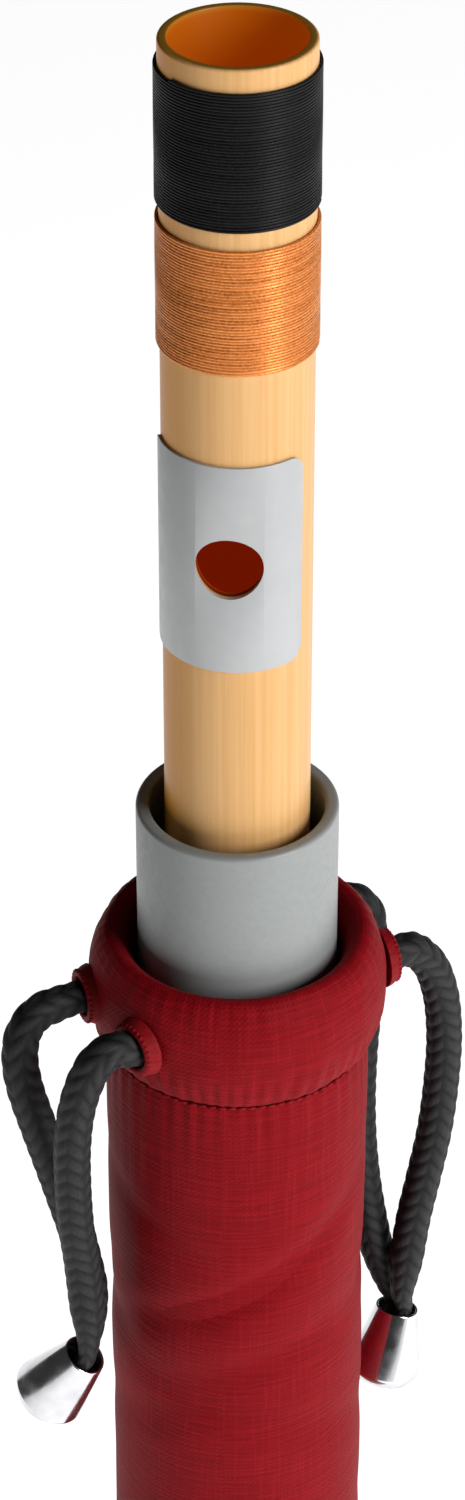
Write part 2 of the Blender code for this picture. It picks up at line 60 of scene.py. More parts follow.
# %% Camera
CAMERA_ANGLE = 6.5
CAMERA_DISTANCE = 564.7 * MM
CAMERA_ABOVE_CROWN = 259.33 * MM
CAMERA_PITCH = 34.353
CAMERA_LEFT = 0.8 * MM
CAMERA_LENS = 100.47


def around(angle, radius, height):
    """The point at an angle in degrees round the case, from -Y towards +X."""
    turn = math.radians(angle)
    return Vector((radius * math.sin(turn), -radius * math.cos(turn), height))


def outward(angle):
    return around(angle, 1.0, 0.0)


def sideways(angle):
    return around(angle + 90, 1.0, 0.0)


def linked(name, data):
    """A new object in the scene."""
    made = bpy.data.objects.new(name, data)
    bpy.context.scene.collection.objects.link(made)
    return made


FLUTE_LOW, FLUTE_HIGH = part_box("flute_tube")
CROWN = FLUTE_HIGH[2]
FOOT = FLUTE_LOW[2]
camera_data = bpy.data.cameras.new("camera")
camera_data.lens = CAMERA_LENS
camera_data.sensor_width = 36.0
camera = linked("camera", camera_data)
camera.location = around(CAMERA_ANGLE, CAMERA_DISTANCE, CROWN + CAMERA_ABOVE_CROWN)
camera.location -= sideways(CAMERA_ANGLE) * CAMERA_LEFT
camera.rotation_euler = (math.radians(90 - CAMERA_PITCH), 0, math.radians(CAMERA_ANGLE))
bpy.context.scene.camera = camera
print("camera at", [round(value, 3) for value in camera.location])

# %% [markdown]
# Most of this object is turned: rings, cups and tubes about one axis. One
# helper turns a profile into a mesh. It also writes a UV map in metres, so
# that a weave keeps its scale wherever the cloth goes. A wobble may move each
# point, which is how stiff cloth gets its creases.

# %% Turning
TAU = math.tau
SHARP_ANGLE = 35.0
ON_THE_AXIS = 1e-7


def smooth(mesh, sharp):
    """Smooth shading, except along edges sharper than an angle."""
    mesh.shade_smooth()
    mesh.set_sharp_from_angle(angle=math.radians(sharp))


def finish_mesh(name, mesh, finish, sharp=SHARP_ANGLE):
    """Points the faces outwards, smooths them and adds the object."""
    shape = bmesh.new()
    shape.from_mesh(mesh)
    bmesh.ops.recalc_face_normals(shape, faces=shape.faces[:])
    shape.to_mesh(mesh)
    shape.free()
    smooth(mesh, sharp)
    mesh.materials.clear()
    mesh.materials.append(finish)
    return linked(name, mesh)


def turned(name, outline, finish, segments=96, closed=True, wobble=None, place=None, sharp=SHARP_ANGLE):
    """Turns (radius, height) points about Z, with UVs in metres."""
    verts = []
    rings = []
    reach = [0.0]
    for (r1, z1), (r2, z2) in zip(outline, outline[1:] + outline[:1]):
        reach.append(reach[-1] + math.hypot(r2 - r1, z2 - z1))
    width = max(radius for radius, _ in outline)
    for radius, height in outline:
        ring = []
        for j in range(segments if radius > ON_THE_AXIS else 1):
            turn = TAU * j / segments
            r, z = (radius, height) if wobble is None else wobble(turn, radius, height)
            ring.append(len(verts))
            verts.append((r * math.sin(turn), -r * math.cos(turn), z))
        rings.append(ring)
    faces = []
    uvs = []
    count = len(outline)
    for i in range(count if closed else count - 1):
        upper = rings[i]
        lower = rings[(i + 1) % count]
        for j in range(segments):
            k = (j + 1) % segments
            corners = [
                (upper[j % len(upper)], j, i),
                (lower[j % len(lower)], j, i + 1),
                (lower[k % len(lower)], j + 1, i + 1),
                (upper[k % len(upper)], j + 1, i),
            ]
            kept = []
            for corner in corners:
                if corner[0] not in [other[0] for other in kept]:
                    kept.append(corner)
            if len(kept) < 3:
                continue
            faces.append([corner[0] for corner in kept])
            for _, column, row in kept:
                uvs += [width * TAU * column / segments, reach[row]]
    mesh = bpy.data.meshes.new(name)
    mesh.from_pydata(verts, [], faces)
    mesh.uv_layers.new(name="metres").data.foreach_set("uv", uvs)
    if place is not None:
        mesh.transform(place)
    return finish_mesh(name, mesh, finish, sharp)


def arc(radius, height, size, start, end, steps=5):
    """Points of a round edge, in degrees from straight outwards."""
    points = []
    for i in range(steps + 1):
        turn = math.radians(start + (end - start) * i / steps)
        points.append((radius + size * math.cos(turn), height + size * math.sin(turn)))
    return points


def stations(radius, high, low, step):
    """Evenly spaced points straight down a wall, without its two ends."""
    count = max(1, round(abs(high - low) / step))
    return [(radius, high + (low - high) * i / count) for i in range(1, count)]


def dress(piece, body, slot, *nodes):
    """What nearly every piece needs: a body, and its node hidden. The slot is not used."""
    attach(piece, body)
    if nodes:
        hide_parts(*nodes)
    return piece


# %% [markdown]
# Every finish is built from nodes. Small helpers keep the trees short: one
# adds a node with its inputs, one starts a material, and the others are the
# few nodes that every finish uses. A constant goes on the shader's own
# socket, and only what varies is wired.

# %% Node helpers
def add(tree, kind, inputs=None, **settings):
    made = tree.nodes.new(kind)
    for key, value in settings.items():
        setattr(made, key, value)
    for key, value in (inputs or {}).items():
        socket = made.inputs[key]
        if isinstance(value, bpy.types.NodeSocket):
            tree.links.new(value, socket)
        else:
            socket.default_value = value
    return made


def start_material(name, roughness=0.5, metallic=0.0, **constants):
    finish = bpy.data.materials.new(name)
    finish.use_nodes = True
    tree = finish.node_tree
    shader = tree.nodes["Principled BSDF"]
    shader.inputs["Roughness"].default_value = roughness
    shader.inputs["Metallic"].default_value = metallic
    for key, value in constants.items():
        shader.inputs[key.replace("_", " ")].default_value = value
    return finish, tree, shader


def scaled(tree, source, scale):
    """Coordinates stretched by a scale for each axis: Object or UV."""
    place = add(tree, "ShaderNodeTexCoord")
    mapping = add(tree, "ShaderNodeMapping", {"Vector": place.outputs[source], "Scale": scale})
    return mapping.outputs["Vector"]


def fine_noise(tree, where, scale=1.0, detail=3.0, roughness=0.55):
    inputs = {"Vector": where, "Scale": scale, "Detail": detail, "Roughness": roughness}
    return add(tree, "ShaderNodeTexNoise", inputs).outputs["Fac"]


def math_node(tree, operation, first, second=0.0):
    return add(tree, "ShaderNodeMath", {0: first, 1: second}, operation=operation).outputs[0]


def between(tree, value, low, high, out_low=0.0, out_high=1.0):
    """How far a value is from low to high, held at the two ends."""
    inputs = {"Value": value, "From Min": low, "From Max": high, "To Min": out_low, "To Max": out_high}
    return add(tree, "ShaderNodeMapRange", inputs).outputs["Result"]


def blend(tree, amount, first, second):
    """A mix of two colours, each a socket or three numbers."""
    mix = add(tree, "ShaderNodeMix", {"Factor": amount}, data_type="RGBA")
    for index, color in ((6, first), (7, second)):
        if isinstance(color, bpy.types.NodeSocket):
            tree.links.new(color, mix.inputs[index])
        else:
            mix.inputs[index].default_value = (*color, 1.0)
    return mix.outputs[2]


def bump(tree, shader, height, distance, strength=1.0):
    made = add(tree, "ShaderNodeBump", {"Height": height, "Distance": distance, "Strength": strength})
    tree.links.new(made.outputs["Normal"], shader.inputs["Normal"])


def color_in(tree, shader, color):
    tree.links.new(color, shader.inputs["Base Color"])


# %% [markdown]
# Bamboo has long fibres that run up the cane, so its noise is stretched along
# Z. One side of the skin is painted a deeper gold, a painted shade on that
# side. The cut surfaces drink in lacquer and go darker: the rim is olive brown
# and the bore orange. Below the cork the bore is painted a brighter red: its
# own red, with painted light added. The walls of the burnt holes are painted
# a dark red, a painted shade. All of them lie at a smaller radius than the
# skin, so one radius decides the colour. The bore is also given a weak painted
# glow, which stands in for light through the thin cane.

# %% Bamboo
BORE_RADIUS = 10.5 * MM
BORE_SKIN = (BORE_RADIUS + 0.05 * MM, BORE_RADIUS + 0.25 * MM)
OUTER_SKIN = (BORE_RADIUS + 0.95 * MM, BORE_RADIUS + 1.35 * MM)
RIM_HEIGHTS = (CROWN - 0.9 * MM, CROWN - 0.3 * MM)
CORK_HEIGHTS = (CROWN - 60 * MM, CROWN - 50 * MM)
# The left side of the skin is painted a deeper gold: a painted shade on that side.
PAINTED_SHADE_SIDE = (-5 * MM, -11.5 * MM)
SKIN_LIGHT = (0.75, 0.44, 0.19)
SKIN_DARK = (0.66, 0.36, 0.13)
SKIN_PATCH = (0.70, 0.38, 0.13)
SKIN_PAINTED_SHADE = (0.62, 0.24, 0.008)
# The walls of the holes are painted a dark red: a painted shade.
CUT_WALL_PAINTED_SHADE = (0.15, 0.022, 0.004)
BORE_COLOR = (0.36, 0.10, 0.004)
# Below the cork the bore's own red is painted brighter: painted light in the deep bore.
DEEP_BORE_RED_PAINTED_LIGHT = (0.60, 0.055, 0.004)
RIM_COLOR = (0.36, 0.17, 0.015)
# A weak painted glow in the bore, which is no lamp.
BORE_PAINTED_GLOW = (0.80, 0.11, 0.0)
DEEP_PAINTED_GLOW = (0.30, 0.03, 0.001)
NO_GLOW = (0.0, 0.0, 0.0)


def bamboo_material():
    # The emission strength only lights the bore's painted glow; the skin gets none.
    finish, tree, shader = start_material(
        "bamboo_cane", 0.38,
        Specular_IOR_Level=0.2, Coat_Weight=0.06, Coat_Roughness=0.25, Emission_Strength=0.2,
    )
    fibres = fine_noise(tree, scaled(tree, "Object", (1100, 1100, 14)), detail=5)
    patches = fine_noise(tree, scaled(tree, "Object", (45, 45, 9)), detail=2)
    skin = blend(tree, between(tree, fibres, 0.34, 0.7), SKIN_LIGHT, SKIN_DARK)
    skin = blend(tree, between(tree, patches, 0.45, 0.75, 0.0, 0.45), skin, SKIN_PATCH)
    place = add(tree, "ShaderNodeTexCoord").outputs["Object"]
    parts = add(tree, "ShaderNodeSeparateXYZ", {0: place}).outputs
    # Painted shade: the skin turns a deeper gold towards its left side.
    skin = blend(tree, between(tree, parts[0], *PAINTED_SHADE_SIDE), skin, SKIN_PAINTED_SHADE)
    flat = add(tree, "ShaderNodeCombineXYZ", {0: parts[0], 1: parts[1]}).outputs[0]
    radius = add(tree, "ShaderNodeVectorMath", {0: flat}, operation="LENGTH").outputs["Value"]
    above_cork = between(tree, parts[2], *CORK_HEIGHTS)
    off_bore = between(tree, radius, *BORE_SKIN)
    # The deep bore's colour holds painted light, and the hole walls' colour holds painted shade.
    inside = blend(tree, off_bore, blend(tree, above_cork, DEEP_BORE_RED_PAINTED_LIGHT, BORE_COLOR), CUT_WALL_PAINTED_SHADE)
    inside = blend(tree, between(tree, parts[2], *RIM_HEIGHTS), inside, RIM_COLOR)
    color_in(tree, shader, blend(tree, between(tree, radius, *OUTER_SKIN), inside, skin))
    # The bore's painted glow: emission that stands in for light through the thin cane.
    painted_glow = blend(tree, off_bore, blend(tree, above_cork, DEEP_PAINTED_GLOW, BORE_PAINTED_GLOW), NO_GLOW)
    tree.links.new(painted_glow, shader.inputs["Emission Color"])
    bump(tree, shader, fibres, 0.05 * MM, 0.35)
    return finish


BAMBOO = bamboo_material()

# %% [markdown]
# The thread is fine silk, so it needs a soft shine and small changes in
# shade from turn to turn. The turns themselves are real geometry.

# %% Thread
def thread_material(name, light, dark, metallic, roughness):
    finish, tree, shader = start_material(name, roughness, metallic, Specular_IOR_Level=0.12)
    turns = fine_noise(tree, scaled(tree, "Object", (60, 60, 2600)), detail=2)
    fibres = fine_noise(tree, scaled(tree, "Object", (2500, 2500, 2500)), detail=2)
    shade = math_node(tree, "MULTIPLY", turns, between(tree, fibres, 0.3, 0.7, 0.6, 1.2))
    color_in(tree, shader, blend(tree, between(tree, shade, 0.3, 0.65), light, dark))
    return finish


BLACK_THREAD = thread_material(
    "silk_thread_black", (0.012, 0.0115, 0.012), (0.003, 0.003, 0.0035), metallic=0.0, roughness=0.42
)
COPPER_THREAD = thread_material(
    "silk_thread_copper", (0.86, 0.32, 0.09), (0.50, 0.15, 0.03), metallic=0.35, roughness=0.34
)

# %% [markdown]
# Plain moulded and painted surfaces are never one flat tone. A faint cloud
# changes the colour, and a very low bump breaks up the shine.

# %% Plastic, cork, felt and wadding
def mottled_material(name, light, dark, roughness, grain, height, cloud=40.0):
    finish, tree, shader = start_material(name, roughness)
    clouds = fine_noise(tree, scaled(tree, "Object", (cloud,) * 3), detail=3)
    specks = fine_noise(tree, scaled(tree, "Object", (grain,) * 3), detail=3)
    cloud_share = math_node(tree, "MULTIPLY", clouds, 0.6)
    speck_share = math_node(tree, "MULTIPLY", specks, 0.4)
    both = math_node(tree, "ADD", cloud_share, speck_share)
    color_in(tree, shader, blend(tree, between(tree, both, 0.35, 0.65), light, dark))
    dullness = between(tree, specks, 0.3, 0.7, roughness - 0.06, roughness + 0.08)
    tree.links.new(dullness, shader.inputs["Roughness"])
    bump(tree, shader, specks, height, 0.5)
    return finish


TUBE_PLASTIC = mottled_material(
    "tube_plastic", (0.29, 0.305, 0.30), (0.255, 0.27, 0.266), 0.42, grain=900, height=0.02 * MM
)
PLUG_PLASTIC = mottled_material(
    "plug_plastic", (0.62, 0.62, 0.60), (0.52, 0.52, 0.50), 0.5, grain=700, height=0.03 * MM
)
PLATE_FINISH = mottled_material(
    "plate_satin", (0.45, 0.455, 0.46), (0.42, 0.425, 0.43), 0.36, grain=400, height=0.004 * MM, cloud=60
)
CORK_FINISH = mottled_material(
    "cork_grain", (0.55, 0.33, 0.17), (0.16, 0.07, 0.03), 0.9, grain=900, height=0.15 * MM, cloud=700
)
FELT = mottled_material(
    "felt_grey", (0.11, 0.11, 0.115), (0.05, 0.05, 0.055), 0.95, grain=1800, height=0.12 * MM, cloud=200
)
WADDING = mottled_material(
    "cotton_wadding", (0.82, 0.80, 0.76), (0.62, 0.60, 0.56), 0.95, grain=600, height=0.3 * MM, cloud=90
)

# %% [markdown]
# Raw silk is a plain weave with thick and thin yarns. Two wave patterns make
# the yarns over and under, and noise stretched along each yarn makes slubs.
# The UV map is in metres, so a yarn is the same width on every piece.

# %% Silk and lining
YARNS_PER_METRE = 2100.0


def weave_material(name, light, dark, slub, roughness, height, **constants):
    finish, tree, shader = start_material(name, roughness, **constants)
    place = add(tree, "ShaderNodeUVMap", uv_map="metres").outputs["UV"]
    parts = add(tree, "ShaderNodeSeparateXYZ", {0: place}).outputs
    warp = math_node(tree, "SINE", math_node(tree, "MULTIPLY", parts[0], YARNS_PER_METRE * math.pi))
    weft = math_node(tree, "SINE", math_node(tree, "MULTIPLY", parts[1], YARNS_PER_METRE * math.pi))
    over = math_node(tree, "MULTIPLY", warp, weft)
    around_case = add(tree, "ShaderNodeMapping", {"Vector": place, "Scale": (90, 1700, 1)}).outputs[0]
    up_case = add(tree, "ShaderNodeMapping", {"Vector": place, "Scale": (1500, 60, 1)}).outputs[0]
    slubs = fine_noise(tree, around_case, detail=2)
    ribs = fine_noise(tree, up_case, detail=2)
    relief = math_node(tree, "ADD", math_node(tree, "MULTIPLY", over, 0.3), between(tree, slubs, 0.4, 0.75))
    relief = math_node(tree, "ADD", relief, between(tree, ribs, 0.45, 0.75, 0.0, 0.5))
    base = blend(tree, between(tree, slubs, 0.35, 0.7), dark, light)
    base = blend(tree, between(tree, ribs, 0.5, 0.75, 0.0, 0.5), base, slub)
    color_in(tree, shader, blend(tree, between(tree, over, -1.0, 0.2, 0.45, 0.0), base, dark))
    bump(tree, shader, relief, height, 0.8)
    return finish


RED_SILK = weave_material(
    "raw_silk_red", (0.27, 0.0035, 0.008), (0.19, 0.002, 0.005), (0.32, 0.008, 0.014), 0.6, 0.09 * MM,
    Specular_IOR_Level=0.06, Sheen_Weight=0.05, Sheen_Roughness=0.4, Sheen_Tint=(1.0, 0.35, 0.38, 1.0),
)
LINING_CLOTH = weave_material(
    "lining_black", (0.024, 0.023, 0.026), (0.008, 0.008, 0.009), (0.04, 0.04, 0.042), 0.85, 0.06 * MM,
    Specular_IOR_Level=0.2,
)

# %% [markdown]
# The cord is a dull black braid. Its strands are modelled, so the finish
# only needs fibres, which run with the UV map, and painted light and shade:
# the braid's height paints its crests lighter and its grooves darker. The red
# stitches are thread again, and the bells are bright, slightly worn chrome.

# %% Cord, stitching and chrome
def cord_material():
    finish, tree, shader = start_material("braided_cord_black", 0.6, Specular_IOR_Level=0.22)
    place = add(tree, "ShaderNodeUVMap", uv_map="metres").outputs["UV"]
    up_cord = add(tree, "ShaderNodeMapping", {"Vector": place, "Scale": (3800, 700, 1)}).outputs[0]
    fibres = fine_noise(tree, up_cord, detail=3)
    ridge = add(tree, "ShaderNodeAttribute", attribute_name="ridge").outputs["Fac"]
    # Painted light and shade: the braid's crests are painted lighter and its grooves darker.
    crest_painted_light = math_node(tree, "MULTIPLY", ridge, between(tree, fibres, 0.3, 0.7, 0.5, 1.2))
    color_in(tree, shader, blend(tree, crest_painted_light, (0.0035, 0.0035, 0.004), (0.030, 0.030, 0.032)))
    bump(tree, shader, fibres, 0.08 * MM, 0.6)
    return finish


def chrome_material():
    finish, tree, shader = start_material("bell_chrome", 0.14, 1.0)
    wear = fine_noise(tree, scaled(tree, "Object", (260, 260, 260)), detail=4)
    worn = between(tree, wear, 0.4, 0.7)
    color_in(tree, shader, blend(tree, worn, (0.80, 0.80, 0.82), (0.66, 0.66, 0.69)))
    tree.links.new(between(tree, wear, 0.35, 0.75, 0.10, 0.24), shader.inputs["Roughness"])
    return finish


CORD_BRAID = cord_material()
CHROME = chrome_material()
RED_STITCH = thread_material(
    "stitch_thread_red", (0.27, 0.005, 0.009), (0.17, 0.003, 0.006), metallic=0.0, roughness=0.6
)
print("finishes:", len(bpy.data.materials))

# %% [markdown]
# The cords hang as four free strands, two to a bell. Each leaves the hollow
# collar through an eyelet, bends over and drops under its own weight. Their
# points are listed, the same as in the part's source: an angle in degrees,
# then a radius and a height above the collar's middle in millimetres. An
# eyelet has its angle and the way it leans. A bell has the point where its
# strands meet, its mouth and its tip, and the angle that its front strand
# lies towards.

# %% Routes of the cords
COLLAR_LOW, COLLAR_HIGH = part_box("sleeve_collar")
COLLAR_RADIUS = COLLAR_HIGH[0]
COLLAR_MIDDLE = (COLLAR_LOW[2] + COLLAR_HIGH[2]) / 2
CORD_RADIUS = 3.0 * MM
EYELET_LEAN = 10.0
EYELET_PROUD = 1.9 * MM
START_INSIDE_COLLAR = 1.5 * MM
STRAIGHT_ABOVE_BELL = 0.8 * MM
STRAND_DEPTH_IN_BELL = 2.2 * MM
STRAND_SPACING = 3.3 * MM
GATHERED_SPACING = 5.0 * MM
EYELETS = {
    "left_front": (-33.5, -1),
    "left_rear": (-71.5, 1),
    "right_front": (108.5, 1),
    "right_rear": (146.5, -1),
}
STRANDS = {
    "left_front": [
        (-36.2, 29.4, 1.2), (-38.2, 32.3, 0.2), (-39.8, 34.6, -3.6), (-41.2, 36.1, -9.6),
        (-42.3, 36.6, -17.0), (-43.5, 36.2, -25.6), (-45.0, 35.1, -36.8), (-46.8, 33.3, -47.2),
    ],
    "left_rear": [
        (-67.6, 30.8, 0.6), (-65.8, 35.0, 0.2), (-64.2, 37.9, -2.4), (-62.8, 39.0, -7.0),
        (-61.5, 38.6, -12.6), (-60.5, 37.0, -19.8), (-60.0, 34.8, -28.6), (-59.5, 32.3, -38.8),
        (-58.5, 30.4, -47.5),
    ],
    "right_front": [
        (112.8, 30.6, -0.9), (115.5, 34.8, -5.6), (117.0, 37.7, -13.5), (118.0, 39.1, -24.0),
        (118.5, 39.0, -35.0), (118.5, 38.0, -45.7), (118.7, 36.2, -56.2), (118.9, 34.4, -66.3),
    ],
    "right_rear": [
        (144.6, 29.8, -0.2), (141.2, 31.6, -2.6), (138.5, 31.2, -8.0), (136.8, 29.8, -17.0),
        (136.0, 28.4, -29.0), (135.2, 27.8, -42.0), (133.5, 28.0, -54.0), (130.5, 28.9, -66.0),
    ],
}
BELLS = {
    "left": ((-50.8, 30.3, -64.6), (-51.5, 31.5, -71.2), (-60.5, 37.4, -83.2), 0.0),
    "right": ((122.0, 31.8, -82.0), (122.0, 32.7, -87.4), (118.5, 28.9, -101.8), 43.0),
}


def collar_point(point):
    angle, radius, height = point
    return around(angle, radius * MM, COLLAR_MIDDLE + height * MM)


def eyelet_axis(name):
    """Where an eyelet's axis meets the collar's skin, and its direction."""
    angle, side = EYELETS[name]
    lean = math.radians(EYELET_LEAN)
    direction = outward(angle) * math.cos(lean) + sideways(angle) * side * math.sin(lean)
    return around(angle, COLLAR_RADIUS, COLLAR_MIDDLE), direction


def along(place, direction):
    """The matrix that turns +Z to a direction and moves it to a place."""
    return Matrix.Translation(place) @ direction.to_track_quat("Z", "Y").to_matrix().to_4x4()


def bell_frame(side):
    """A bell's mouth, its axis and the direction its front strand lies in."""
    _, mouth, tip, towards = BELLS[side]
    mouth = collar_point(mouth)
    axis = (collar_point(tip) - mouth).normalized()
    across = outward(towards)
    return mouth, axis, (across - axis * across.dot(axis)).normalized()


def strand_points(name):
    side, place_in_pair = name.split("_")
    front = 1 if place_in_pair == "front" else -1
    place, direction = eyelet_axis(name)
    mouth, axis, across = bell_frame(side)
    points = [place - direction * START_INSIDE_COLLAR, place + direction * EYELET_PROUD]
    points += [collar_point(point) for point in STRANDS[name]]
    points.append(collar_point(BELLS[side][0]) + across * front * GATHERED_SPACING / 2)
    points.append(mouth - axis * STRAIGHT_ABOVE_BELL + across * front * STRAND_SPACING / 2)
    points.append(mouth + axis * STRAND_DEPTH_IN_BELL + across * front * STRAND_SPACING / 2)
    return points


def smooth_line(points, per_span=24):
    """A centripetal curve through every point."""
    ends = [points[0] * 2 - points[1], *points, points[-1] * 2 - points[-2]]
    line = []
    for a, b, c, d in zip(ends, ends[1:], ends[2:], ends[3:]):
        t1 = math.sqrt((b - a).length)
        t2 = t1 + math.sqrt((c - b).length)
        t3 = t2 + math.sqrt((d - c).length)
        for i in range(per_span):
            t = t1 + (t2 - t1) * i / per_span
            ab = a.lerp(b, t / t1)
            bc = b.lerp(c, (t - t1) / (t2 - t1))
            cd = c.lerp(d, (t - t2) / (t3 - t2))
            abc = ab.lerp(bc, t / t2)
            bcd = bc.lerp(cd, (t - t1) / (t3 - t1))
            line.append(abc.lerp(bcd, (t - t1) / (t2 - t1)))
    line.append(points[-1])
    return line


def spaced(line, step):
    """The line again, with its points evenly spaced about a step apart."""
    reach = [0.0]
    for a, b in zip(line, line[1:]):
        reach.append(reach[-1] + (b - a).length)
    count = max(2, round(reach[-1] / step))
    found = []
    j = 0
    for i in range(count + 1):
        want = reach[-1] * i / count
        while j < len(line) - 2 and reach[j + 1] < want:
            j += 1
        share = (want - reach[j]) / (reach[j + 1] - reach[j])
        found.append(line[j].lerp(line[j + 1], min(share, 1.0)))
    return found, reach[-1]


# %% [markdown]
# A round braid shows as columns of slanted strands, whose slant turns over
# from one column to the next, like a row of chevrons. The tube is swept along
# the route with a frame that doesn't twist, and each vertex rises or sinks
# with the braid. The same height is kept as an attribute for the finish. Near
# the eyelet and the bell the cord is pinched.

# %% Braided strands
BRAID_COLUMNS = 6
BRAID_PITCH = 3.2 * MM
BRAID_DEPTH = 0.07
BRAID_SLANT = 0.9
AROUND_CORD = 48
ALONG_CORD = 0.4 * MM
BELL_SQUEEZE = 0.5
SQUEEZE_LENGTH = 15.0 * MM
EYELET_SQUEEZE = 0.9
EYELET_PINCH = 8 * MM
PINCH_START = 0.3


def ease(share):
    """A soft step from 0 to 1."""
    share = min(max(share, 0.0), 1.0)
    return share * share * (3 - 2 * share)


def braid_height(turn, distance):
    column = turn / TAU * BRAID_COLUMNS
    slant = 1 if int(column) % 2 == 0 else -1
    inside = column - int(column)
    strand = abs(math.sin(math.pi * (distance / BRAID_PITCH + slant * (inside - 0.5) * BRAID_SLANT)))
    groove = math.sin(math.pi * inside)
    return strand ** 0.7 * (0.45 + 0.55 * groove ** 0.6)


def braided_strand(name, points):
    line, length = spaced(smooth_line(points), ALONG_CORD)
    step = length / (len(line) - 1)
    normal = (line[1] - line[0]).orthogonal().normalized()
    verts = []
    heights = []
    for i, place in enumerate(line):
        ahead = (line[min(i + 1, len(line) - 1)] - line[max(i - 1, 0)]).normalized()
        normal = (normal - ahead * normal.dot(ahead)).normalized()
        side = ahead.cross(normal)
        to_end = length - i * step
        at_bell = BELL_SQUEEZE + (1 - BELL_SQUEEZE) * ease((to_end - STRAND_DEPTH_IN_BELL) / SQUEEZE_LENGTH)
        at_eyelet = EYELET_SQUEEZE + (1 - EYELET_SQUEEZE) * ease(i * step / EYELET_PINCH - PINCH_START)
        for j in range(AROUND_CORD):
            turn = TAU * j / AROUND_CORD
            height = braid_height(turn, i * step)
            radius = CORD_RADIUS * min(at_bell, at_eyelet) * (1 - BRAID_DEPTH + 2 * BRAID_DEPTH * height)
            verts.append(place + (normal * math.cos(turn) + side * math.sin(turn)) * radius)
            heights.append(height)
    faces = []
    uvs = []
    for i in range(len(line) - 1):
        for j in range(AROUND_CORD):
            k = (j + 1) % AROUND_CORD
            row = i * AROUND_CORD
            faces.append((row + j, row + k, row + AROUND_CORD + k, row + AROUND_CORD + j))
            for column, level in ((j, i), (j + 1, i), (j + 1, i + 1), (j, i + 1)):
                uvs += [column / AROUND_CORD * TAU * CORD_RADIUS, level * step]
    for row in (0, (len(line) - 1) * AROUND_CORD):
        faces.append([row + j for j in range(AROUND_CORD)])
        uvs += [0.0, 0.0] * AROUND_CORD
    mesh = bpy.data.meshes.new(name)
    mesh.from_pydata(verts, [], faces)
    mesh.uv_layers.new(name="metres").data.foreach_set("uv", uvs)
    mesh.attributes.new("ridge", "FLOAT", "POINT").data.foreach_set("value", heights)
    return finish_mesh(name, mesh, CORD_BRAID, 60.0), line, length


# %% [markdown]
# A bell is a short metal cone with a hollow inside, a rolled mouth and a
# bevelled base. The knot that stops the cords sits in it. The knot is a
# short wrapped roll, made of the same cord.

# %% Bells, knots and strands
BELL_LENGTH = 14.5 * MM
BELL_SHOULDER = 12.3 * MM
MOUTH_RADIUS = 3.95 * MM
BASE_RADIUS = 6.7 * MM
BELL_WALL = 0.5 * MM
SHOULDER_ROUND = 0.8 * MM
TIP_ROUND = 0.25 * MM
KNOT_GAP = 0.3 * MM
KNOT_HEIGHT = 6.4 * MM
KNOT_RADIUS = 4.1 * MM
KNOT_WRAPS = 3
KNOT_STEPS = 24


def bell_outline():
    lip = BELL_WALL / 2
    chamfer = BELL_LENGTH - BELL_SHOULDER
    outline = arc(MOUTH_RADIUS - lip, -lip, lip, 180, 0, 6)
    outline += arc(BASE_RADIUS - SHOULDER_ROUND, -BELL_SHOULDER, SHOULDER_ROUND, 8, -42, 5)
    tip_radius = BASE_RADIUS - chamfer * 0.75 + 0.1 * MM
    outline += arc(tip_radius, -BELL_LENGTH + TIP_ROUND, TIP_ROUND, -45, -180, 5)
    outline.append((BASE_RADIUS - BELL_WALL - 0.3 * MM, -BELL_SHOULDER + 0.2 * MM))
    return outline


def knot_wobble(turn, radius, height):
    wrap = math.cos(KNOT_WRAPS * TAU * height / KNOT_HEIGHT + turn)
    return radius * (0.96 + 0.05 * wrap), height


def knot_outline():
    points = [(0.0, KNOT_HEIGHT / 2)]
    for i in range(1, KNOT_STEPS):
        turn = math.radians(90 - 180 * i / KNOT_STEPS)
        points.append((KNOT_RADIUS * math.cos(turn) ** 0.6, KNOT_HEIGHT / 2 * math.sin(turn)))
    points.append((0.0, -KNOT_HEIGHT / 2))
    return points


for side in BELLS:
    mouth, axis, _ = bell_frame(side)
    bell = turned("bell_" + side, bell_outline(), CHROME, 64, place=along(mouth, -axis))
    dress(bell, "sleeve", "chrome", "cord_bell_" + side)
    middle = mouth + axis * (STRAND_DEPTH_IN_BELL + KNOT_GAP + KNOT_HEIGHT / 2)
    knot = turned("knot_" + side, knot_outline(), CORD_BRAID, 48, False, knot_wobble, along(middle, -axis))
    dress(knot, "sleeve", "cord_black", "cord_knot_" + side)

for name in EYELETS:
    side, place_in_pair = name.split("_")
    strand, line, length = braided_strand("strand_" + name, strand_points(name))
    dress(strand, "sleeve", "cord_black", "drawcord_" + place_in_pair)
    print(strand.name, round(length * 1000, 1), "mm")

# %% [markdown]
# Holes are cut with a Boolean, and a cut edge is softened with a Bevel. Each
# result is kept as a plain mesh, and the modifier goes away.

# %% Cutting and softening
DRILL_START = 4 * MM
DRILL_REACH = 14 * MM
BEVEL_ABOVE = 50.0


def plain_mesh(source):
    """The object's mesh with its modifiers carried out."""
    bpy.context.view_layer.update()
    seen = source.evaluated_get(bpy.context.evaluated_depsgraph_get())
    return bpy.data.meshes.new_from_object(seen)


def settle(piece, modifier):
    """Keeps what a modifier does, and takes the modifier away."""
    mesh = plain_mesh(piece)
    piece.modifiers.remove(modifier)
    piece.data = mesh
    smooth(mesh, SHARP_ANGLE)


def cut(target, cutter):
    modifier = target.modifiers.new("cut", "BOOLEAN")
    modifier.operation = "DIFFERENCE"
    modifier.solver = "EXACT"
    modifier.object = cutter
    settle(target, modifier)


def bevelled(piece, width):
    modifier = piece.modifiers.new("edge", "BEVEL")
    modifier.width = width
    modifier.segments = 2
    modifier.limit_method = "ANGLE"
    modifier.angle_limit = math.radians(BEVEL_ABOVE)
    settle(piece, modifier)


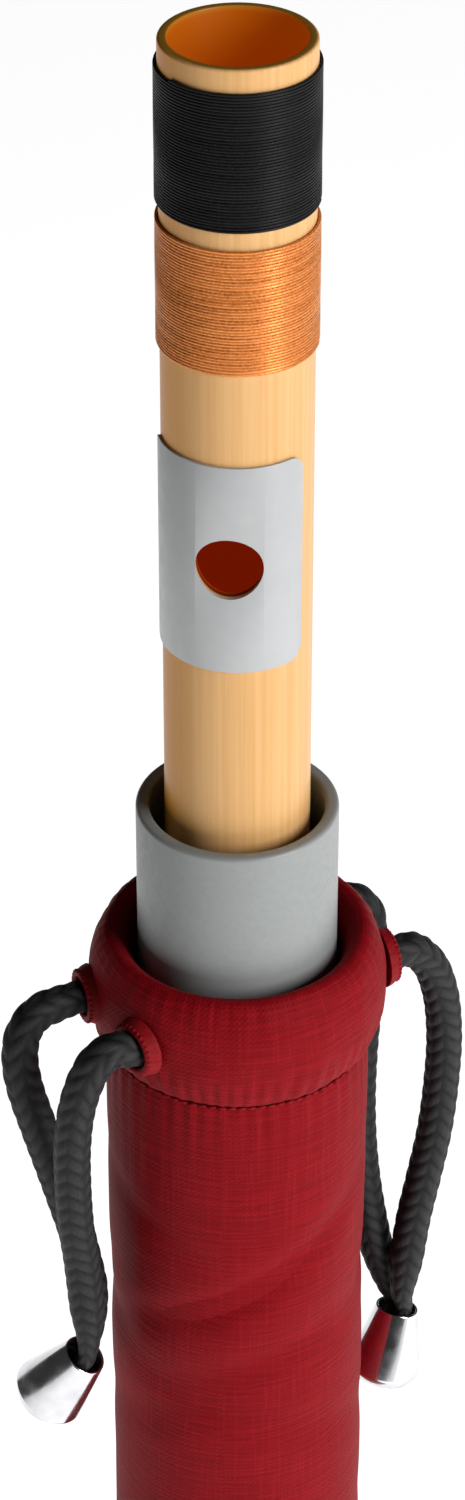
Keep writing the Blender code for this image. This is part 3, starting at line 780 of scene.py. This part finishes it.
def drill(name, radius, heights):
    """Round cutters from inside the bore out through the front wall."""
    lying = Matrix.Rotation(math.pi / 2, 4, "X")
    shape = bmesh.new()
    for height in heights:
        middle = Matrix.Translation((0, -DRILL_REACH / 2 - DRILL_START, height))
        bmesh.ops.create_cone(
            shape, cap_ends=True, segments=64, radius1=radius, radius2=radius, depth=DRILL_REACH,
            matrix=middle @ lying,
        )
    mesh = bpy.data.meshes.new(name)
    shape.to_mesh(mesh)
    shape.free()
    return linked(name, mesh)


# %% [markdown]
# The cane is turned finer than the CAD node, with soft edges at the crown and
# the foot. The blowing hole and the six finger holes are then drilled. A
# finger hole ends the air column where its note needs it, and the column
# sounds a little longer than it is at both ends. The finger holes hide in the
# tube until the flute is drawn out.

# %% The cane
CANE_RADIUS = FLUTE_HIGH[0]
EDGE = 0.45 * MM
BORE_EDGE = 0.25 * MM
WALL_STEP = 8 * MM
PLATE_LOW, PLATE_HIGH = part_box("lip_plate")
HOLE_BELOW_PLATE_TOP = 18.2 * MM
HOLE_HEIGHT = PLATE_HIGH[2] - HOLE_BELOW_PLATE_TOP
HOLE_RADIUS = 5.4 * MM
FINGER_RADIUS = 4.75 * MM
SEMITONES = (2, 4, 5, 7, 9, 11)
FOOT_END = 0.6 * BORE_RADIUS
BLOWING_END = 36.0 * MM
FINGER_END = 12.0 * MM
AIR_COLUMN = HOLE_HEIGHT - FOOT + FOOT_END + BLOWING_END
FINGER_HEIGHTS = [
    HOLE_HEIGHT - (AIR_COLUMN * 2 ** (-semitones / 12) - BLOWING_END - FINGER_END) for semitones in SEMITONES
]

cane_outline = arc(CANE_RADIUS - EDGE, CROWN - EDGE, EDGE, 90, 0)
cane_outline += stations(CANE_RADIUS, CROWN - EDGE, FOOT + EDGE, WALL_STEP)
cane_outline += arc(CANE_RADIUS - EDGE, FOOT + EDGE, EDGE, 0, -90)
cane_outline.append((BORE_RADIUS, FOOT))
cane_outline += stations(BORE_RADIUS, FOOT, CROWN, WALL_STEP)
cane_outline += arc(BORE_RADIUS + BORE_EDGE, CROWN - BORE_EDGE, BORE_EDGE, 180, 90)
cane = turned("cane", cane_outline, BAMBOO, 128)
blowing_cutter = drill("blowing_cutter", HOLE_RADIUS, [HOLE_HEIGHT])
finger_cutter = drill("finger_cutter", FINGER_RADIUS, FINGER_HEIGHTS)
cut(cane, blowing_cutter)
cut(cane, finger_cutter)
bpy.data.objects.remove(finger_cutter)
dress(cane, "flute", "bamboo", "flute_tube")
print("finger holes at", [round(height * 1000, 1) for height in FINGER_HEIGHTS])

# %% [markdown]
# The lip plate is cut flat with round corners and then rolled on the cane.
# Slicing it before the roll gives the bend enough faces. Its edge gets a
# small bevel, so that it catches a line of light.

# %% The lip plate
PLATE_LEFT = math.radians(-85.5)
PLATE_RIGHT = math.radians(60.5)
PLATE_CORNER = 3.0 * MM
PLATE_INNER = CANE_RADIUS + 0.02 * MM
PLATE_OUTER = CANE_RADIUS + 0.5 * MM
PLATE_SLICES = 72
PLATE_BEVEL = 0.12 * MM


def flat_plate(steps=8):
    """The flat plate's outline: an angle across and a height up."""
    across = PLATE_CORNER / PLATE_OUTER
    left = PLATE_LEFT + across
    right = PLATE_RIGHT - across
    low = PLATE_LOW[2] + PLATE_CORNER
    high = PLATE_HIGH[2] - PLATE_CORNER
    for angle, height, start in ((right, high, 0), (left, high, 90), (left, low, 180), (right, low, 270)):
        for i in range(steps + 1):
            turn = math.radians(start + 90 * i / steps)
            yield angle + across * math.cos(turn), height + PLATE_CORNER * math.sin(turn)


def rolled(name, finish):
    shape = bmesh.new()
    shape.faces.new([shape.verts.new((angle, 0, height)) for angle, height in flat_plate()])
    for i in range(1, PLATE_SLICES):
        slice_at = PLATE_LEFT + (PLATE_RIGHT - PLATE_LEFT) * i / PLATE_SLICES
        bmesh.ops.bisect_plane(
            shape, geom=shape.verts[:] + shape.edges[:] + shape.faces[:],
            plane_co=(slice_at, 0, 0), plane_no=(1, 0, 0),
        )
    thickness = bmesh.ops.extrude_face_region(shape, geom=shape.faces[:], use_keep_orig=True)
    for part in thickness["geom"]:
        if isinstance(part, bmesh.types.BMVert):
            part.co.y = PLATE_OUTER - PLATE_INNER
    for vert in shape.verts:
        vert.co = around(math.degrees(vert.co.x), PLATE_INNER + vert.co.y, vert.co.z)
    mesh = bpy.data.meshes.new(name)
    shape.to_mesh(mesh)
    shape.free()
    return finish_mesh(name, mesh, finish)


plate = rolled("rolled_lip_plate", PLATE_FINISH)
cut(plate, blowing_cutter)
bevelled(plate, PLATE_BEVEL)
bpy.data.objects.remove(blowing_cutter)
dress(plate, "flute", "lip_plate_grey", "lip_plate")
print("lip plate faces:", len(plate.data.polygons))

# %% [markdown]
# Thread repeats, so Geometry Nodes wind it. A spiral as long as the binding
# carries a round profile. Named inputs set the radius, the two ends, the
# thread and its pitch, and one tree serves all four bindings.

# %% Winding tree
SPIRAL_POINTS_PER_TURN = 72
THREAD_SIDES = 6


def new_tree(name, inputs):
    tree = bpy.data.node_groups.new(name, "GeometryNodeTree")
    tree.interface.new_socket("Geometry", in_out="OUTPUT", socket_type="NodeSocketGeometry")
    for label, kind in inputs:
        tree.interface.new_socket(label, in_out="INPUT", socket_type="NodeSocket" + kind)
    return tree, tree.nodes.new("NodeGroupInput").outputs


def raised(tree, source, height, finish):
    """Every tree ends the same way: raised, realized, with its material set."""
    lift = add(tree, "ShaderNodeCombineXYZ", {2: height})
    place = {"Geometry": source.outputs[0], "Translation": lift.outputs[0]}
    moved = add(tree, "GeometryNodeTransform", place)
    real = add(tree, "GeometryNodeRealizeInstances", {0: moved.outputs[0]})
    rounded = add(tree, "GeometryNodeSetShadeSmooth", {0: real.outputs[0]})
    dressed = add(tree, "GeometryNodeSetMaterial", {0: rounded.outputs[0], "Material": finish})
    out = tree.nodes.new("NodeGroupOutput")
    tree.links.new(dressed.outputs[0], out.inputs[0])


def grown(tree, name, values):
    """Carries out a tree and returns its result as a plain mesh."""
    holder = linked(name + "_holder", bpy.data.meshes.new(name))
    modifier = holder.modifiers.new("grow", "NODES")
    modifier.node_group = tree
    for item in tree.interface.items_tree:
        if item.name in values and item.in_out == "INPUT":
            modifier[item.identifier] = values[item.name]
    mesh = plain_mesh(holder)
    bpy.data.objects.remove(holder)
    return mesh


def winding_tree():
    sizes = [(label, "Float") for label in ("Radius", "Low", "High", "Thread", "Pitch")]
    tree, given = new_tree("winding", [*sizes, ("Finish", "Material")])
    length = math_node(tree, "SUBTRACT", given["High"], given["Low"])
    height = math_node(tree, "SUBTRACT", length, given["Thread"])
    turns = math_node(tree, "DIVIDE", height, given["Pitch"])
    half = math_node(tree, "DIVIDE", given["Thread"], 2.0)
    middle = math_node(tree, "SUBTRACT", given["Radius"], half)
    spiral = add(tree, "GeometryNodeCurveSpiral", {
        "Resolution": SPIRAL_POINTS_PER_TURN, "Rotations": turns,
        "Start Radius": middle, "End Radius": middle, "Height": height,
    })
    profile = add(tree, "GeometryNodeCurvePrimitiveCircle", {"Resolution": THREAD_SIDES, "Radius": half})
    thread = add(tree, "GeometryNodeCurveToMesh", {
        "Curve": spiral.outputs[0], "Profile Curve": profile.outputs[0], "Fill Caps": True,
    })
    raised(tree, thread, math_node(tree, "ADD", given["Low"], half), given["Finish"])
    return tree


THREAD = 0.56 * MM
THREAD_PITCH = 0.5 * MM
THREAD_SHARP = 80.0
WINDING = winding_tree()
for name, finish, slot in (
    ("crown_binding_black", BLACK_THREAD, "black_thread"),
    ("crown_binding_copper", COPPER_THREAD, "copper_thread"),
    ("foot_binding_copper", COPPER_THREAD, "copper_thread"),
    ("foot_binding_black", BLACK_THREAD, "black_thread"),
):
    low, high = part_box(name)
    values = {
        "Radius": float(high[0]), "Low": float(low[2]), "High": float(high[2]),
        "Thread": THREAD, "Pitch": THREAD_PITCH, "Finish": finish,
    }
    winding = finish_mesh("winding_" + name, grown(WINDING, name, values), finish, THREAD_SHARP)
    dress(winding, "flute", slot, name)
    print(winding.name, len(winding.data.polygons), "faces")

# %% [markdown]
# The rigid tube is a plain extrusion with a sawn and softened rim. The plug,
# the pad and the cork are simple turned pieces that the CAD nodes show well,
# so these keep their nodes and only get a better finish.

# %% The rigid tube and the small hidden pieces
TUBE_LOW, TUBE_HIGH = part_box("case_tube")
TUBE_RADIUS = TUBE_HIGH[0]
TUBE_WALL = 2.3 * MM
RIM = 0.7 * MM
TUBE_STEP = 12 * MM

tube_outline = arc(TUBE_RADIUS - RIM, TUBE_HIGH[2] - RIM, RIM, 90, 0)
tube_outline += stations(TUBE_RADIUS, TUBE_HIGH[2] - RIM, TUBE_LOW[2], TUBE_STEP)
tube_outline.append((TUBE_RADIUS, TUBE_LOW[2]))
tube_outline.append((TUBE_RADIUS - TUBE_WALL, TUBE_LOW[2]))
tube_outline += stations(TUBE_RADIUS - TUBE_WALL, TUBE_LOW[2], TUBE_HIGH[2] - RIM, TUBE_STEP)
tube_outline += arc(TUBE_RADIUS - TUBE_WALL + RIM, TUBE_HIGH[2] - RIM, RIM, 180, 90)
tube = turned("rigid_tube", tube_outline, TUBE_PLASTIC, 128)
dress(tube, "case_tube", "tube_white", "case_tube")

for name, finish in (("stopper_cork", CORK_FINISH), ("tube_end_plug", PLUG_PLASTIC), ("foot_pad", FELT)):
    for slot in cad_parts[name].material_slots:
        slot.material = finish
print("tube", round(2 * TUBE_RADIUS * 1000, 1), "mm across")

# %% [markdown]
# The sleeve is stiff raw silk over wadding. It keeps its round shape, but the
# cloth has slack: low waves everywhere, small puckers under the seam, and a
# few long slanting creases. Each crease is a line pressed into the wall. It
# has the angle and the height of its middle, its slope, and then half its
# length, its width and its depth in millimetres.

# %% The silk sleeve
COVER_LOW, COVER_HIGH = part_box("sleeve_cover")
COVER_RADIUS = COVER_HIGH[0]
COVER_TOP = COVER_HIGH[2]
COVER_BASE = COVER_LOW[2]
COVER_WALL = 1.0 * MM
COVER_STEP = 1.6 * MM
BASE_ROUND = 3.0 * MM
MOUTH_ROUND = 0.5 * MM
PUCKERS = 46
PUCKER_HEIGHT = 0.16 * MM
PUCKER_REACH = 9 * MM
TUCK_DEPTH = 0.35 * MM
WAVE_HEIGHT = 0.32 * MM
FLAT_AT_BASE = 14 * MM
CREASES = [
    (-14, 271, 0.50, 20, 3.4, 1.15), (32, 281, 0.65, 18, 3.2, 1.0), (14, 259, 0.40, 20, 3.8, 0.95),
    (-40, 288, -0.45, 16, 3.4, 0.50), (-36, 244, 0.40, 22, 4.0, 0.55), (54, 240, -0.40, 24, 4.2, 0.50),
    (96, 268, 0.50, 26, 4.0, 0.55), (-80, 262, -0.45, 26, 4.0, 0.50),
    (165, 244, -0.50, 36, 4.2, 0.36), (-120, 262, 0.45, 34, 3.8, 0.34), (40, 205, 0.30, 40, 5.0, 0.26),
    (-40, 188, -0.35, 42, 5.0, 0.26), (150, 170, 0.35, 42, 5.0, 0.26), (-100, 150, 0.30, 44, 5.0, 0.24),
    (90, 120, -0.35, 44, 5.0, 0.24), (0, 128, 0.30, 44, 5.4, 0.22), (-150, 90, 0.35, 40, 5.0, 0.24),
]


def crease_depth(turn, height):
    """How far the creases press the wall in at a place."""
    depth = 0.0
    for angle, middle, slope, half_length, width, deep in CREASES:
        away = (turn - math.radians(angle) + math.pi) % TAU - math.pi
        across = away * COVER_RADIUS / MM
        up = height / MM - middle
        run = (across + slope * up) / math.hypot(1, slope)
        off = (up - slope * across) / math.hypot(1, slope)
        depth += deep * math.exp(-((run / half_length) ** 2)) * math.exp(-((off / width) ** 2))
    return depth * MM


def cover_wobble(turn, radius, height):
    if radius < COVER_RADIUS - BASE_ROUND:
        return radius, height
    spot = Vector((math.sin(turn) * 1.6, math.cos(turn) * 1.6, height * 22))
    waves = noise.noise(spot) * WAVE_HEIGHT * ease((height - COVER_BASE) / FLAT_AT_BASE)
    below = max((COVER_TOP - height) / PUCKER_REACH, 0.0)
    pucker = PUCKER_HEIGHT * math.cos(PUCKERS * turn + 1.5 * math.sin(3 * turn)) * math.exp(-below)
    tuck = TUCK_DEPTH * math.exp(-below * 2.2)
    outer = ease((radius - COVER_RADIUS + COVER_WALL) / COVER_WALL)
    return radius + (waves + pucker - crease_depth(turn, height) - tuck) * outer, height


cover_outline = [(0.0, COVER_BASE + COVER_WALL), (COVER_RADIUS - COVER_WALL, COVER_BASE + COVER_WALL)]
cover_outline.append((COVER_RADIUS - COVER_WALL, COVER_TOP))
cover_outline += arc(COVER_RADIUS - MOUTH_ROUND, COVER_TOP - MOUTH_ROUND, MOUTH_ROUND, 90, 0, 4)
cover_outline += stations(COVER_RADIUS, COVER_TOP - MOUTH_ROUND, COVER_BASE + BASE_ROUND, COVER_STEP)
cover_outline += arc(COVER_RADIUS - BASE_ROUND, COVER_BASE + BASE_ROUND, BASE_ROUND, 0, -90, 6)
cover_outline.append((0.0, COVER_BASE))
cover = turned("silk_sleeve", cover_outline, RED_SILK, 240, False, cover_wobble, sharp=60.0)
dress(cover, "sleeve", "red_cloth", "sleeve_cover")
print("silk sleeve faces:", len(cover.data.polygons))

# %% [markdown]
# Inside the silk are a cup of cotton wadding and a cup of lining. They only
# show when the tube is drawn out, but both are still cloth, so each gets a
# soft uneven wall.

# %% Wadding and lining
PADDING_LOW, PADDING_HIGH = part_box("sleeve_padding")
LINING_LOW, LINING_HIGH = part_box("sleeve_lining")
LINING_WALL = 0.6 * MM
PADDING_BASE_THICKNESS = 4.0 * MM
SMOOTH_MIDDLE = 5 * MM
CUP_STEP = 6 * MM


def soft_wobble(amount, coarse):
    """A wobble that only sinks, so that a cup stays inside its neighbour."""
    def wobble(turn, radius, height):
        if radius <= SMOOTH_MIDDLE:
            return radius, height
        spot = Vector((math.sin(turn) * coarse, math.cos(turn) * coarse, height * 40 * coarse))
        return radius - abs(noise.noise(spot)) * amount, height
    return wobble


def cup_outline(inner, outer, floor, base, top, rounded):
    outline = [(0.0, floor), (inner, floor), *stations(inner, floor, top, CUP_STEP), (inner, top)]
    outline.append((outer, top))
    outline += stations(outer, top, base + rounded, CUP_STEP)
    outline += arc(outer - rounded, base + rounded, rounded, 0, -90, 5)
    outline.append((0.0, base))
    return outline


padding_inner = LINING_HIGH[0] + 0.5 * MM
wadding_outline = cup_outline(
    padding_inner, PADDING_HIGH[0] - 0.25 * MM, PADDING_LOW[2] + PADDING_BASE_THICKNESS,
    PADDING_LOW[2], PADDING_HIGH[2] - 0.2 * MM, 2.0 * MM,
)
wadding = turned("wadding_cup", wadding_outline, WADDING, 96, False, soft_wobble(0.18 * MM, 3.0))
dress(wadding, "sleeve", "wadding", "sleeve_padding")

lining_outline = cup_outline(
    LINING_HIGH[0] - LINING_WALL + 0.1 * MM, LINING_HIGH[0], LINING_LOW[2] + LINING_WALL,
    LINING_LOW[2], LINING_HIGH[2], 0.3 * MM,
)
lining = turned("lining_cup", lining_outline, LINING_CLOTH, 96, False, soft_wobble(0.08 * MM, 4.0))
dress(lining, "sleeve", "lining_black", "sleeve_lining")
print("lining inner radius", round((LINING_HIGH[0] - LINING_WALL) * 1000, 2), "mm")

# %% [markdown]
# The collar is the sleeve's cloth rolled over into a hollow channel for the
# cords. Cloth rolled to a smaller radius has too much length, so it gathers:
# fine puckers run up from the seam below and down from the inner edge above,
# and the roll is a little lumpy. Its changes are in millimetres.

# %% The rolled collar
COLLAR_INNER = TUBE_RADIUS + 0.3 * MM
COLLAR_ACROSS = (COLLAR_RADIUS - COLLAR_INNER) / 2
COLLAR_CENTRE = (COLLAR_RADIUS + COLLAR_INNER) / 2
COLLAR_UP = (COLLAR_HIGH[2] - COLLAR_LOW[2]) / 2
COLLAR_STEPS = 56
GATHERS = 54
GATHER_BELOW = 0.20
GATHER_ABOVE = 0.12


def collar_wobble(turn, radius, height):
    level = (height - COLLAR_MIDDLE) / COLLAR_UP
    outer = ease((radius - COLLAR_CENTRE) / COLLAR_ACROSS + 0.2)
    low = ease(-level * 1.5 - 0.15)
    high = ease(level * 1.6 - 0.7)
    gather = math.cos(GATHERS * turn + 2.0 * math.sin(5 * turn) + 0.8 * math.sin(2 * turn))
    spot = Vector((math.sin(turn) * 3.0, math.cos(turn) * 3.0, level * 0.9))
    lumps = noise.noise(spot) * 0.40 + noise.noise(spot * 2.6) * 0.18
    change = (GATHER_BELOW * low + GATHER_ABOVE * high) * gather + lumps - 0.15
    return max(radius + change * outer * MM, COLLAR_INNER), height


def collar_section(turn):
    """A point of the roll's oval section."""
    return COLLAR_CENTRE + COLLAR_ACROSS * math.cos(turn), COLLAR_MIDDLE + COLLAR_UP * math.sin(turn)


collar_outline = [collar_section(-TAU * i / COLLAR_STEPS) for i in range(COLLAR_STEPS)]
collar = turned("rolled_collar", collar_outline, RED_SILK, 300, True, collar_wobble, sharp=70.0)
dress(collar, "sleeve", "red_cloth", "sleeve_collar")
print("collar", round(2 * COLLAR_RADIUS * 1000, 1), "mm across")

# %% [markdown]
# Stitches repeat along circles, both in the seam under the collar and over
# each eyelet. One tree puts a small ellipsoid on every vertex of a circle and
# turns it to face outwards.

# %% Stitch tree
def stitch_tree():
    sizes = [("Count", "Int"), ("Radius", "Float"), ("Height", "Float"), ("Size", "Vector")]
    tree, given = new_tree("stitch_ring", [*sizes, ("Finish", "Material")])
    circle = add(tree, "GeometryNodeMeshCircle", {"Vertices": given["Count"], "Radius": given["Radius"]})
    stitch = add(tree, "GeometryNodeMeshUVSphere", {"Segments": 8, "Rings": 6, "Radius": 0.5})
    where = add(tree, "GeometryNodeInputPosition")
    facing = add(tree, "FunctionNodeAlignEulerToVector", {"Vector": where.outputs[0]}, axis="X")
    placed = add(tree, "GeometryNodeInstanceOnPoints", {
        "Points": circle.outputs[0], "Instance": stitch.outputs[0],
        "Rotation": facing.outputs[0], "Scale": given["Size"],
    })
    raised(tree, placed, given["Height"], given["Finish"])
    return tree


STITCHES = stitch_tree()
SEAM_STITCHES = 84
SEAM_RADIUS = COVER_RADIUS - 0.35 * MM
seam_values = {
    "Count": SEAM_STITCHES, "Radius": SEAM_RADIUS, "Height": COVER_TOP + 0.1 * MM,
    "Size": (0.5 * MM, 1.25 * MM, 0.55 * MM), "Finish": RED_STITCH,
}
seam = finish_mesh("seam_stitches", grown(STITCHES, "seam_stitches", seam_values), RED_STITCH, THREAD_SHARP)
dress(seam, "sleeve", "red_cloth")
print("seam stitches:", SEAM_STITCHES)

# %% [markdown]
# An eyelet is a hole worked over with thread, like a buttonhole. A soft ring
# gives it body, and the stitches lie side by side across it.

# %% Eyelets
EYELET_INNER = 3.35 * MM
EYELET_TIP = 4.55 * MM
EYELET_ROOT = 5.3 * MM
EYELET_STITCHES = 30
EYELET_SUNK = 0.6 * MM


def eyelet_outline():
    crest = (EYELET_TIP - EYELET_INNER) / 2
    outline = arc(EYELET_INNER + crest, EYELET_PROUD - crest - 0.1 * MM, crest, 180, 0, 8)
    outline.append((EYELET_ROOT - 0.2 * MM, 0.2 * MM))
    outline.append((EYELET_ROOT, -EYELET_SUNK))
    outline.append((EYELET_INNER, -EYELET_SUNK))
    return outline


eyelet_values = {
    "Count": EYELET_STITCHES, "Radius": (EYELET_INNER + EYELET_TIP) / 2 + 0.1 * MM,
    "Height": EYELET_PROUD - 0.55 * MM, "Size": (1.5 * MM, 0.72 * MM, 0.8 * MM), "Finish": RED_STITCH,
}
for name in EYELETS:
    matrix = along(*eyelet_axis(name))
    ring = turned("eyelet_ring_" + name, eyelet_outline(), RED_STITCH, 48, place=matrix)
    stitches = grown(STITCHES, "eyelet_stitches", eyelet_values)
    stitches.transform(matrix)
    shape = bmesh.new()
    shape.from_mesh(ring.data)
    shape.from_mesh(stitches)
    shape.to_mesh(ring.data)
    shape.free()
    bpy.data.meshes.remove(stitches)
    dress(ring, "sleeve", "eyelet_red", "eyelet_" + name)
print("eyelets:", len(EYELETS))

# %% [markdown]
# The studio is a pale floor that glows, so that it stays white out to its
# edge, a dim white surround and one large soft light from the right. A very
# weak one stands in front. So the round forms go from dark on the left to
# bright on the right.

# %% Floor and light
FLOOR_SIZE = 12.0
WHITE = (1.0, 1.0, 1.0, 1.0)


def floor_material():
    finish, tree, shader = start_material("floor_pale", 0.9, Emission_Color=WHITE, Emission_Strength=0.84)
    clouds = fine_noise(tree, scaled(tree, "Object", (3, 3, 3)), detail=2)
    color_in(tree, shader, blend(tree, clouds, (0.92, 0.92, 0.92), (0.90, 0.90, 0.90)))
    return finish


def soft_light(name, place, aim, size, power):
    data = bpy.data.lights.new(name, "AREA")
    data.shape = "RECTANGLE"
    data.size = size[0]
    data.size_y = size[1]
    data.energy = power
    made = linked(name, data)
    made.location = place
    made.rotation_euler = (Vector(aim) - Vector(place)).to_track_quat("-Z", "Y").to_euler()


half = FLOOR_SIZE / 2
floor_corners = [(-half, -half, 0), (half, -half, 0), (half, half, 0), (-half, half, 0)]
floor_mesh = bpy.data.meshes.new("floor")
floor_mesh.from_pydata(floor_corners, [], [(0, 1, 2, 3)])
floor_mesh.materials.append(floor_material())
floor = linked("floor", floor_mesh)

world = bpy.data.worlds.new("white_surround")
world.use_nodes = True
background = world.node_tree.nodes["Background"]
background.inputs["Color"].default_value = WHITE
background.inputs["Strength"].default_value = 0.03
bpy.context.scene.world = world
bpy.context.scene.view_settings.view_transform = "Standard"
soft_light("key_right", (1.15, -0.72, 0.85), (0, 0, 0.38), (0.5, 1.0), 20.5)
soft_light("fill_front", (-0.7, -1.5, 0.9), (0, 0, 0.35), (0.6, 0.9), 0.6)
